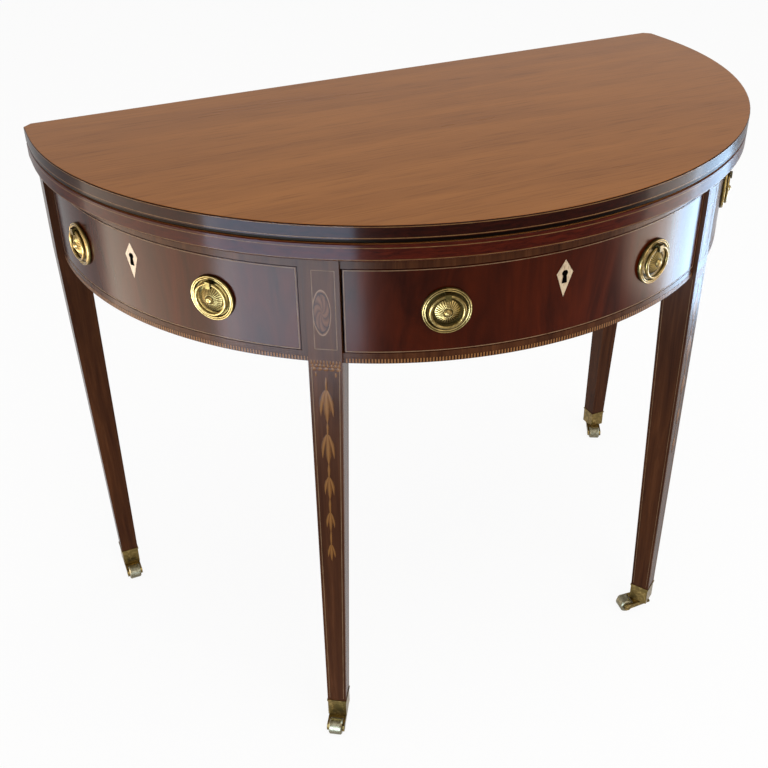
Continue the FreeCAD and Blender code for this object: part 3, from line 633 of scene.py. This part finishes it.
def node_finish(name):
    """The finish that a CAD node gets."""
    if name in ("upper_leaf", "lower_leaf"):
        return "top"
    if name == "drawer_front" or name.startswith("dummy_front"):
        return "flame"
    if name.startswith("escutcheon"):
        return "bone"
    if "screws" in name or name in ("knuckle_pins", "drawer_lock"):
        return "iron"
    if name.startswith("handle_plates"):
        return "patina"
    if name.startswith("castor_wheel"):
        return "roller"
    if name.startswith(("top_hinge", "handle", "castor")):
        return "brass"
    if name.startswith(("drawer_", "back_rail", "knuckle_rail", "fly_rail")):
        return "deal"
    return "leg"


class TABLE_OT_finish(bpy.types.Operator):
    """Gives every CAD node its wood, brass, bone or iron"""

    bl_idname = "table.finish"
    bl_label = "Finish the solids"

    def execute(self, context):
        for name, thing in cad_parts.items():
            thing.data.materials.clear()
            thing.data.materials.append(finish(node_finish(name)))
        return {"FINISHED"}


# Inlay


def arc(a0, a1, z, count):
    """Points, upward direction and outward directions along a level arc of the frieze."""
    a = np.radians(np.linspace(a0, a1, count))
    out = np.stack([np.sin(a), -np.cos(a), 0 * a], axis=1)
    return FRIEZE_RADIUS * out + [0.0, CENTRE_Y, z], UP, out


def upright(angle, z0, z1):
    """Points, sideways direction and outward direction along an upright line of the frieze."""
    a = math.radians(angle)
    out = np.array([math.sin(a), -math.cos(a), 0.0])
    side = np.array([math.cos(a), math.sin(a), 0.0])
    return FRIEZE_RADIUS * out + [(0.0, CENTRE_Y, z0), (0.0, CENTRE_Y, z1)], side, out


def frieze_frame(a0, a1, z0, z1):
    """Four strips that frame a curved front, inset from its edges."""
    s = sizes()
    section = flat_strip(s.line, s.relief)
    reach = math.degrees(s.line / 2 / FRIEZE_RADIUS)
    count = max(int(abs(a1 - a0)), 2) * 2
    runs = [arc(a0 - reach, a1 + reach, z, count) for z in (z0, z1)]
    runs += [upright(a, z0, z1) for a in (a0, a1)]
    return [swept(*run, section) for run in runs]


class TABLE_OT_front_lines(bpy.types.Operator):
    """Lays the pale lines round the drawer front and the dummy fronts"""

    bl_idname = "table.front_lines"
    bl_label = "Front stringing"

    def execute(self, context):
        inset = 0.0011
        z0, z1 = DRAWER_LOW.z + inset, DRAWER_HIGH.z - inset
        margin = math.degrees(inset / FRIEZE_RADIUS)
        half = DRAWER_END - margin
        shapes = frieze_frame(-half, half, z0, z1)
        piece("drawer_stringing", shapes, finish("boxwood"), "drawer")
        inner_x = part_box("dummy_front_left")[1].x
        inner = -math.degrees(math.asin(inner_x / (FRIEZE_RADIUS - VENEER))) + margin * 1.3
        outer = DUMMY_END - margin * 1.3
        for sign, side in SIDES:
            limits = (-outer, -inner) if sign < 0 else (inner, outer)
            piece("dummy_stringing_" + side, frieze_frame(*limits, z0, z1),
                  finish("boxwood"), "carcase")
        return {"FINISHED"}


class TABLE_OT_frieze_band(bpy.types.Operator):
    """Lays the chequered band along the foot of the frieze"""

    bl_idname = "table.frieze_band"
    bl_label = "Chequered band"

    def execute(self, context):
        s = sizes()
        gap, leg_gap, count = 0.0004, 0.15, 90
        z = FRIEZE_FOOT + s.band / 2 + gap
        section = flat_strip(s.band, s.relief)
        edge = math.degrees(LEG_HALF / FRIEZE_RADIUS) + leg_gap
        runs = {
            "left": (-FRIEZE_END, -LEG_ANGLE - edge),
            "centre": (edge - LEG_ANGLE, LEG_ANGLE - edge),
            "right": (LEG_ANGLE + edge, FRIEZE_END)}
        for name, (a0, a1) in runs.items():
            shape = swept(*arc(a0, a1, z, count), section)
            piece("chequer_band_" + name, [shape], finish("chequer"), "carcase")
        return {"FINISHED"}


def leg_face_points(x, z):
    """Points on the front face of the left front leg before it is turned into place."""
    x, z = np.broadcast_arrays(np.asarray(x, float), np.asarray(z, float))
    return np.stack([x, np.full(x.shape, CENTRE_Y - LEG_FACE), z], axis=-1)


def leg_share(z):
    """How far down the tapered part of the leg a height lies, from 0 at the frieze to 1."""
    return np.clip((FRIEZE_FOOT - np.asarray(z, float)) / (FRIEZE_FOOT - CUP_TOP), 0, 1)


def inner_edge(z):
    """Inner edge of the front leg's front face at a height; tapers below the frieze."""
    return LEG_HALF + leg_share(z) * (FOOT_WIDTH - 2 * LEG_HALF)


def middle(z):
    """Middle of the front leg's front face at a height."""
    return (inner_edge(z) - LEG_HALF) / 2


def on_leg(shape, sign):
    """A shape built on the left leg's face, turned to its place, and mirrored for the right leg."""
    points, *rest = shape
    mirror = np.array([1.0 if sign < 0 else -1.0, 1.0, 1.0])
    return (turned(points, -LEG_ANGLE) * mirror, *rest)


def face_line(points, width):
    """A strip on the leg's front face through points."""
    d = np.gradient(points, axis=0)
    d /= np.linalg.norm(d, axis=1)[:, None]
    return swept(points, np.cross(OUT, d), OUT, flat_strip(width, sizes().relief))


class TABLE_OT_leg_lines(bpy.types.Operator):
    """Lays the pale lines on the pilasters and down the front legs"""

    bl_idname = "table.leg_lines"
    bl_label = "Leg stringing"

    def execute(self, context):
        s = sizes()
        inset, end_gap, count = 0.0031, 0.004, 12
        thin, thinner = s.line * 0.85, s.line * 0.55
        z = np.linspace(FRIEZE_FOOT - end_gap, CUP_TOP + end_gap, count)
        x = inner_edge(z)
        runs = [leg_face_points(inset - LEG_HALF, z), leg_face_points(x - inset, z)]
        # The panel on the pilaster
        x0, x1 = -0.0100, 0.0130
        z0, z1 = FRIEZE_FOOT + 0.0180, PANEL_TOP - 0.0005
        corners = leg_face_points([x0, x1, x1, x0, x0], [z0, z0, z1, z1, z0])
        runs += [corners[i:i + 2] for i in range(4)]
        shapes = [face_line(run, thin) for run in runs]
        # Two thinner lines on the leg's inner side, near its front and back edges
        front = np.full(count, CENTRE_Y - LEG_FACE + inset)
        depth = LEG_DEPTH - leg_share(z) * (LEG_DEPTH - FOOT_DEPTH)
        back = CENTRE_Y - LEG_FACE + depth - inset
        shapes += [
            swept(np.stack([x, y, z], axis=1), -OUT, ACROSS, flat_strip(thinner, s.relief))
            for y in (front, back)]
        for sign, side in SIDES:
            piece("leg_stringing_" + side, [on_leg(shape, sign) for shape in shapes],
                  finish("boxwood"), "carcase")
        return {"FINISHED"}


def husk(x, z, length, width, relief, count=14):
    """Bellflower of three blades from one root at x, z.

    At share s of its length the middle blade's half width is 0.24 width sin(pi s^0.9). The side
    blades are 0.78 as long, flare by 0.36 width sin(pi s / 2)^0.8 and are
    0.17 width sin(pi s^0.75) to each side.
    """
    s = np.linspace(0, 1, count)
    least = 1e-5
    half = 0.24 * width * np.sin(math.pi * s ** 0.9) + least
    blades = [lens(leg_face_points(x, z - length * s), half, relief)]
    half = 0.17 * width * np.sin(math.pi * s ** 0.75) + least
    flare = 0.36 * width * np.sin(0.5 * math.pi * s) ** 0.8
    for sign in (-1, 1):
        run = leg_face_points(x + sign * flare, z - 0.78 * length * s)
        blades.append(lens(run, half, relief * 0.8))
    return blades


class TABLE_OT_husks(bpy.types.Operator):
    """Lays the chain of husks down each front leg"""

    bl_idname = "table.husks"
    bl_label = "Husk chains"

    def execute(self, context):
        s = sizes()
        # Drop of each husk below the frieze, and its size beside the topmost one
        starts = np.array([0.0300, 0.0870, 0.1450, 0.1955, 0.2430])
        shrink = np.array([1.0, 0.95, 0.74, 0.66, 0.58])
        lengths = s.husk_length * shrink
        shapes = []
        for z, length, scale in zip(FRIEZE_FOOT - starts, lengths, shrink):
            x = middle(z - length / 2)
            shapes += husk(x, z, length, s.husk_width * scale, s.relief * 1.6)
        # Small buds link each husk to the one above it
        bud = np.array([0.0007, 0.0017, 0.0015, 0.0006])
        tops = np.concatenate([[0.016], (starts + lengths)[:-1] - 0.003])
        for top, foot in zip(tops, starts + 0.004):
            z = FRIEZE_FOOT - np.linspace(top, foot, len(bud))
            shapes.append(lens(leg_face_points(middle(z), z), bud, s.relief * 1.3))
        for sign, side in SIDES:
            piece("husk_chain_" + side, [on_leg(shape, sign) for shape in shapes],
                  finish("satinwood"), "carcase")
        return {"FINISHED"}


class TABLE_OT_scallops(bpy.types.Operator):
    """Lays the scalloped collar with its drops at the top of each front leg"""

    bl_idname = "table.scallops"
    bl_label = "Scalloped collar"

    def execute(self, context):
        s = sizes()
        reach, drop_x, drop_half = 0.0160, 0.0105, 0.0014
        # Scallops in a row, their drop below the frieze, half width and half height
        rows = ((10, -0.0022, 0.0011, 0.0026), (8, 0.0021, 0.0019, 0.0022),
                (5, 0.0060, 0.0029, 0.0022))
        shapes = [
            dome(leg_face_points(x, FRIEZE_FOOT - drop), half_w, half_h, s.relief * 1.2, 4, 14)
            for count, drop, half_w, half_h in rows
            for x in np.linspace(half_w - reach, reach - half_w, count)]
        z = FRIEZE_FOOT - np.linspace(0.0096, 0.0156, 6)
        half = drop_half * np.sin(math.pi * np.linspace(0.05, 0.98, 6))
        shapes += [lens(leg_face_points(x, z), half, s.relief) for x in (-drop_x, drop_x)]
        for sign, side in SIDES:
            piece("leg_collar_" + side, [on_leg(shape, sign) for shape in shapes],
                  finish("satinwood"), "carcase")
        return {"FINISHED"}


class TABLE_OT_paterae(bpy.types.Operator):
    """Lays an oval patera on each pilaster"""

    bl_idname = "table.paterae"
    bl_label = "Paterae"

    def execute(self, context):
        s = sizes()
        centre = leg_face_points(-0.0012, (FRIEZE_FOOT + PANEL_TOP) / 2 + 0.006)
        shape = dome(centre, s.patera_width / 2, s.patera_height / 2, s.relief * 1.6, 14, 72)
        for sign, side in SIDES:
            piece("patera_" + side, [on_leg(shape, sign)], finish("patera"), "carcase")
        return {"FINISHED"}


# Brass

# Lathe profile of the stamped boss: share of its radius, height in mm
BOSS = np.array([
    (0, 10.6), (0.08, 10.4), (0.1, 9.8), (0.16, 10.0), (0.24, 9.2), (0.28, 8.2), (0.31, 7.4),
    (0.35, 7.2), (0.4, 7.7), (0.65, 6.3), (1.0, 3.4), (1.02, 1.4)])
BOSS_RADIUS = 0.0132
PETAL_ROOT, PETAL_DIP = 0.36, 0.0009
# Lathe profile of the moulded rim: radius and height in mm
RIM = np.array([
    (20.4, 0.2), (20.4, 1.6), (20.9, 2.4), (21.6, 3.2), (22.2, 3.8), (22.7, 3.75), (23.1, 3.4),
    (23.6, 3.3), (24.0, 3.4), (24.4, 3.75), (24.9, 3.6), (25.3, 2.7), (25.4, 1.6), (25.4, 0.2)])


def rosette(petals, rows=36, columns=168):
    """Stamped boss: a round nub, a groove, then petals that slope to a sharp rim.

    Its height follows a lathe profile of the radius; between the petals it dips by
    0.9 mm times sin(pi r)(1 - |cos(petals t / 2)|).
    """
    r = np.linspace(0.0, BOSS[-1, 0], rows)[:, None]
    t = np.linspace(0, 2 * math.pi, columns, endpoint=False)[None, :]
    lathe = np.interp(r, BOSS[:, 0], BOSS[:, 1] / 1000)
    groove = np.where(r > PETAL_ROOT, np.sin(math.pi * r), 0) * (
        1 - np.abs(np.cos(petals * t / 2)))
    tall = lathe - PETAL_DIP * groove
    points = np.stack(
        [BOSS_RADIUS * r * np.sin(t), -tall, BOSS_RADIUS * r * np.cos(t)], axis=-1)
    quads = grid_faces(rows, columns, wrap_columns=True)
    uv = np.stack(np.broadcast_arrays(r, t / (2 * math.pi)), axis=-1)
    return points.reshape(-1, 3), quads, [last_row(rows, columns)], uv.reshape(-1, 2)


def moulded_rim(columns=96):
    """Rim of a handle plate: two thin beads with a groove between, carried round its axis."""
    t = np.linspace(0, 2 * math.pi, columns, endpoint=False)
    around = np.stack([np.sin(t), 0 * t, np.cos(t)], axis=1)
    return swept(np.zeros((columns, 3)), around, OUT, RIM / 1000, closed=True)


class TABLE_OT_handle_castings(bpy.types.Operator):
    """Adds the petalled boss and the moulded rim to each handle plate"""

    bl_idname = "table.handle_castings"
    bl_label = "Handle castings"

    def execute(self, context):
        base = np.array([0.0, CENTRE_Y - FRIEZE_RADIUS, HANDLE_Z])
        castings = (
            ("boss", "stamped", rosette(sizes().petals)), ("rim", "moulded", moulded_rim()))
        for name, angle in HANDLES.items():
            body = "drawer" if name.startswith("drawer") else "carcase"
            for kind, look, (points, *rest) in castings:
                shape = (turned(points + base, angle), *rest)
                piece("handle_%s_%s" % (kind, name), [shape], finish(look), body, True)
        return {"FINISHED"}


def keyhole(half, drop, foot):
    """Keyhole outline: a circle of radius half, open below into a slot that flares to its foot."""
    t = np.radians(np.linspace(-50, 230, 24))
    bow = np.stack([half * np.cos(t), half * np.sin(t)], axis=1)
    return np.concatenate([bow, [(-foot, -drop), (foot, -drop)]])


class TABLE_OT_keyholes(bpy.types.Operator):
    """Fills the keyhole of each escutcheon with a near-black plug of painted shade"""

    bl_idname = "table.keyholes"
    bl_label = "Keyholes"

    def execute(self, context):
        outline = keyhole(half=0.0034, drop=0.0112, foot=0.0031)
        inside, proud, top_share = 0.0006, 0.0005, 0.36
        for name, body in (("left", "carcase"), ("right", "carcase"), ("drawer", "drawer")):
            low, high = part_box("escutcheon_" + name)
            x, y = (low.x + high.x) / 2, (low.y + high.y) / 2
            angle = math.degrees(math.atan2(x, CENTRE_Y - y))
            face = CENTRE_Y - max(math.hypot(x, y - CENTRE_Y), FRIEZE_RADIUS)
            top = high.z - top_share * (high.z - low.z)
            # A near-black plug of painted shade, from just inside the escutcheon's face to just
            # proud of it
            path = [(0.0, face + inside, top), (0.0, face - proud, top)]
            points, *rest = swept(path, ACROSS, UP, outline)
            piece("keyhole_" + name, [(turned(points, angle), *rest)],
                  finish("keyhole"), body)
        return {"FINISHED"}


class TABLE_OT_castor_crowns(bpy.types.Operator):
    """Closes the crown of each castor's horn, between its cheeks and behind its wheel"""

    bl_idname = "table.castor_crowns"
    bl_label = "Castor crowns"

    def execute(self, context):
        hollow_radius, half_width = 0.0103, 0.0087
        t = np.radians(np.linspace(143, 196, 14))
        # Back of the crown under the cup: distance from the swivel, height
        back = [(0.0105, 0.0078), (0.0045, 0.0128), (0.0045, 0.0156)]
        for place in ("front_left", "front_right", "rear_left", "rear_right"):
            cup, wheel = (
                np.array([(a + b) / 2 for a, b in zip(*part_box(kind + place))])
                for kind in ("castor_cup_", "castor_wheel_"))
            trail = (wheel - cup) * [1.0, 1.0, 0.0]
            reach = np.linalg.norm(trail)
            along = trail / reach
            side = half_width * np.array([-along[1], along[0], 0.0])
            hollow = np.stack(
                [reach + hollow_radius * np.cos(t), wheel[2] + hollow_radius * np.sin(t)], axis=1)
            base = cup * [1.0, 1.0, 0.0]
            shape = swept([base - side, base + side], along, UP, np.concatenate([hollow, back]))
            piece("castor_crown_" + place, [shape], finish("brass"), "castor_" + place)
        return {"FINISHED"}


# Stage

# Lamps: name, place, aim, width, height, watts, colour, and whether it lights the wood or only
# shows in the polish and the brass
LAMPS = (
    ("left wall", (-1.05, 0.13, 0.22), (0, 0.08, 0.45), 0.9, 0.6, 15.5, "#FFEEDA", False),
    ("left window", (-0.98, -0.62, 0.2), (-0.2, -0.1, 0.5), 0.9, 0.55, 54.0, "#BCDAFF", False),
    ("right window", (1.05, -0.12, 0.25), (0, -0.12, 0.45), 0.42, 0.35, 8.8, "#B8DCFF", False),
    ("right wall", (1.05, -0.5, 0.25), (0, -0.3, 0.45), 0.5, 0.35, 6.0, "#F4E6D4", False),
    ("front", (0.6, -3.2, 2.6), (0, 0, 0.5), 2.2, 2.2, 40.0, "#FFFFFF", True),
    ("overhead", (0.2, -0.5, 3.0), (0, 0, 0.7), 2.4, 2.4, 40.0, "#FFFFFF", True))
# The fitted camera: photo's side, focal length and principal point in pixels, place and directions
PHOTO_SIDE, FOCAL, PRINCIPAL = 768, 1010.45, (355.28, 327.68)
CAMERA_PLACE = (-0.541285, -0.991965, 1.100725)
CAMERA_FORWARD = (0.32832597, 0.80014275, -0.50196976)
CAMERA_UP = (0.21818557, 0.45281341, 0.864497)
SENSOR = 36.0


def seen(add):
    """1 for rays from the camera, from polish or through glass, else 0."""
    path = add("ShaderNodeLightPath")
    direct = add(
        MATH, {0: path["Is Camera Ray"], 1: path["Is Glossy Ray"]}, operation="MAXIMUM")[0]
    return add(MATH, {0: direct, 1: path["Is Transmission Ray"]}, operation="MAXIMUM")[0]


class TABLE_OT_stage(bpy.types.Operator):
    """Sets up the pale floor, the soft lights and the camera at the photographed angle"""

    bl_idname = "table.stage"
    bl_label = "Stage"

    def execute(self, context):
        scene = context.scene
        scene.view_settings.view_transform = "Standard"
        self.floor(scene)
        self.lights(scene)
        self.camera(scene)
        return {"FINISHED"}

    def floor(self, scene):
        """A broad pale floor that curves up, as a quarter ellipse, into a backdrop behind."""
        rows, columns, flat = 60, 25, 0.7
        x = np.linspace(-9, 9, columns)
        run = np.linspace(0, 1, rows)
        turn = (run - flat) / (1 - flat) * math.pi / 2
        y = np.where(run < flat, -9 + run / flat * 14, 5 + np.sin(turn) * 2.5)
        z = np.where(run < flat, 0.0, (1 - np.cos(turn)) * 7)
        points = np.stack(np.broadcast_arrays(x[None, :], y[:, None], z[:, None]), axis=-1)
        mesh = bpy.data.meshes.new("studio_floor")
        mesh.from_pydata(points.reshape(-1, 3).tolist(), [], grid_faces(rows, columns).tolist())
        mesh.polygons.foreach_set("use_smooth", np.ones(len(mesh.polygons), dtype=bool))
        mesh.materials.append(self.floor_paint())
        made = bpy.data.objects.new("studio_floor", mesh)
        scene.collection.objects.link(made)

    def floor_paint(self):
        """Matt pale paint, lifted to near white where it is seen and still holding the shadow."""
        material, add, spot, uv = blank("pale studio floor")
        speck = grain(add, spot, (333.3, 333.3, 333.3), 3.0, 0.0)
        colour = add(RAMP, {"Fac": speck}, stops=[(0.2, "#EFEEEC"), (0.8, colours().floor)])
        paint = add("ShaderNodeBsdfPrincipled", {"Base Color": colour["Color"]},
                    {"Roughness": 0.9, "Specular IOR Level": 0.1})
        glow = add("ShaderNodeEmission", values={"Color": (1, 1, 1, 1), "Strength": 1.0})
        share = add(MATH, {0: seen(add)}, {1: 0.92}, operation="MULTIPLY")[0]
        both = add("ShaderNodeMixShader", {
            "Fac": share, 1: paint["BSDF"], 2: glow["Emission"]})
        add("ShaderNodeOutputMaterial", {"Surface": both[0]})
        return material

    def lights(self, scene):
        """Even white world, two soft lamps, and windows that show only in polish and brass."""
        world = bpy.data.worlds.new("studio")
        scene.world = world
        world.use_nodes = True
        tree = world.node_tree
        add = partial(node, tree)
        level = add(RANGE, {"Value": seen(add)}, {"To Min": 0.55, "To Max": 1.0})["Result"]
        sky = tree.nodes["Background"].inputs
        sky["Color"].default_value = (1, 1, 1, 1)
        tree.links.new(level, sky["Strength"])
        for name, spot, aim, wide, high, power, colour, lights in LAMPS:
            data = bpy.data.lights.new(name, "AREA")
            data.shape = "RECTANGLE"
            data.size = wide
            data.size_y = high
            data.energy = power
            data.color = linear(colour)[:3]
            lamp = bpy.data.objects.new(name, data)
            lamp.location = spot
            lamp.visible_camera = False
            lamp.visible_diffuse = lights
            lamp.rotation_mode = "QUATERNION"
            lamp.rotation_quaternion = (Vector(aim) - Vector(spot)).to_track_quat("-Z", "Y")
            scene.collection.objects.link(lamp)

    def camera(self, scene):
        """Camera fitted to the outline of the top, the legs and the castors."""
        data = bpy.data.cameras.new("camera")
        data.sensor_width = SENSOR
        data.lens = SENSOR * FOCAL / PHOTO_SIDE
        data.shift_x = 0.5 - PRINCIPAL[0] / PHOTO_SIDE
        data.shift_y = PRINCIPAL[1] / PHOTO_SIDE - 0.5
        forward = Vector(CAMERA_FORWARD).normalized()
        right = forward.cross(Vector(CAMERA_UP)).normalized()
        turn = Matrix((right, right.cross(forward), -forward)).transposed().to_4x4()
        made = bpy.data.objects.new("camera", data)
        made.matrix_world = Matrix.Translation(CAMERA_PLACE) @ turn
        scene.collection.objects.link(made)
        scene.camera = made


class TABLE_PT_panel(bpy.types.Panel):
    """Lists the table's sizes, colours and steps"""

    bl_label = "Demilune table"
    bl_idname = "TABLE_PT_panel"
    bl_space_type = "VIEW_3D"
    bl_region_type = "UI"
    bl_category = "Table"

    def draw(self, context):
        for group in (context.scene.table_sizes, context.scene.table_colours):
            for key in group.__annotations__:
                self.layout.prop(group, key)
        for step in STEPS:
            self.layout.operator(step.bl_idname)


STEPS = (
    TABLE_OT_finish, TABLE_OT_front_lines, TABLE_OT_frieze_band, TABLE_OT_leg_lines,
    TABLE_OT_husks, TABLE_OT_scallops, TABLE_OT_paterae, TABLE_OT_handle_castings,
    TABLE_OT_keyholes, TABLE_OT_castor_crowns, TABLE_OT_stage)
CLASSES = (TableSizes, TableColours, *STEPS, TABLE_PT_panel)


def register():
    """Adds the classes, and the sizes and colours to the scene."""
    for item in CLASSES:
        bpy.utils.register_class(item)
    bpy.types.Scene.table_sizes = bpy.props.PointerProperty(type=TableSizes)
    bpy.types.Scene.table_colours = bpy.props.PointerProperty(type=TableColours)


def unregister():
    """Takes away what register added."""
    del bpy.types.Scene.table_colours
    del bpy.types.Scene.table_sizes
    for item in reversed(CLASSES):
        bpy.utils.unregister_class(item)


def main():
    """Registers the add-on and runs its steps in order."""
    register()
    for step in STEPS:
        getattr(bpy.ops.table, step.bl_idname.partition(".")[2])()


if __name__ == "__main__":
    main()
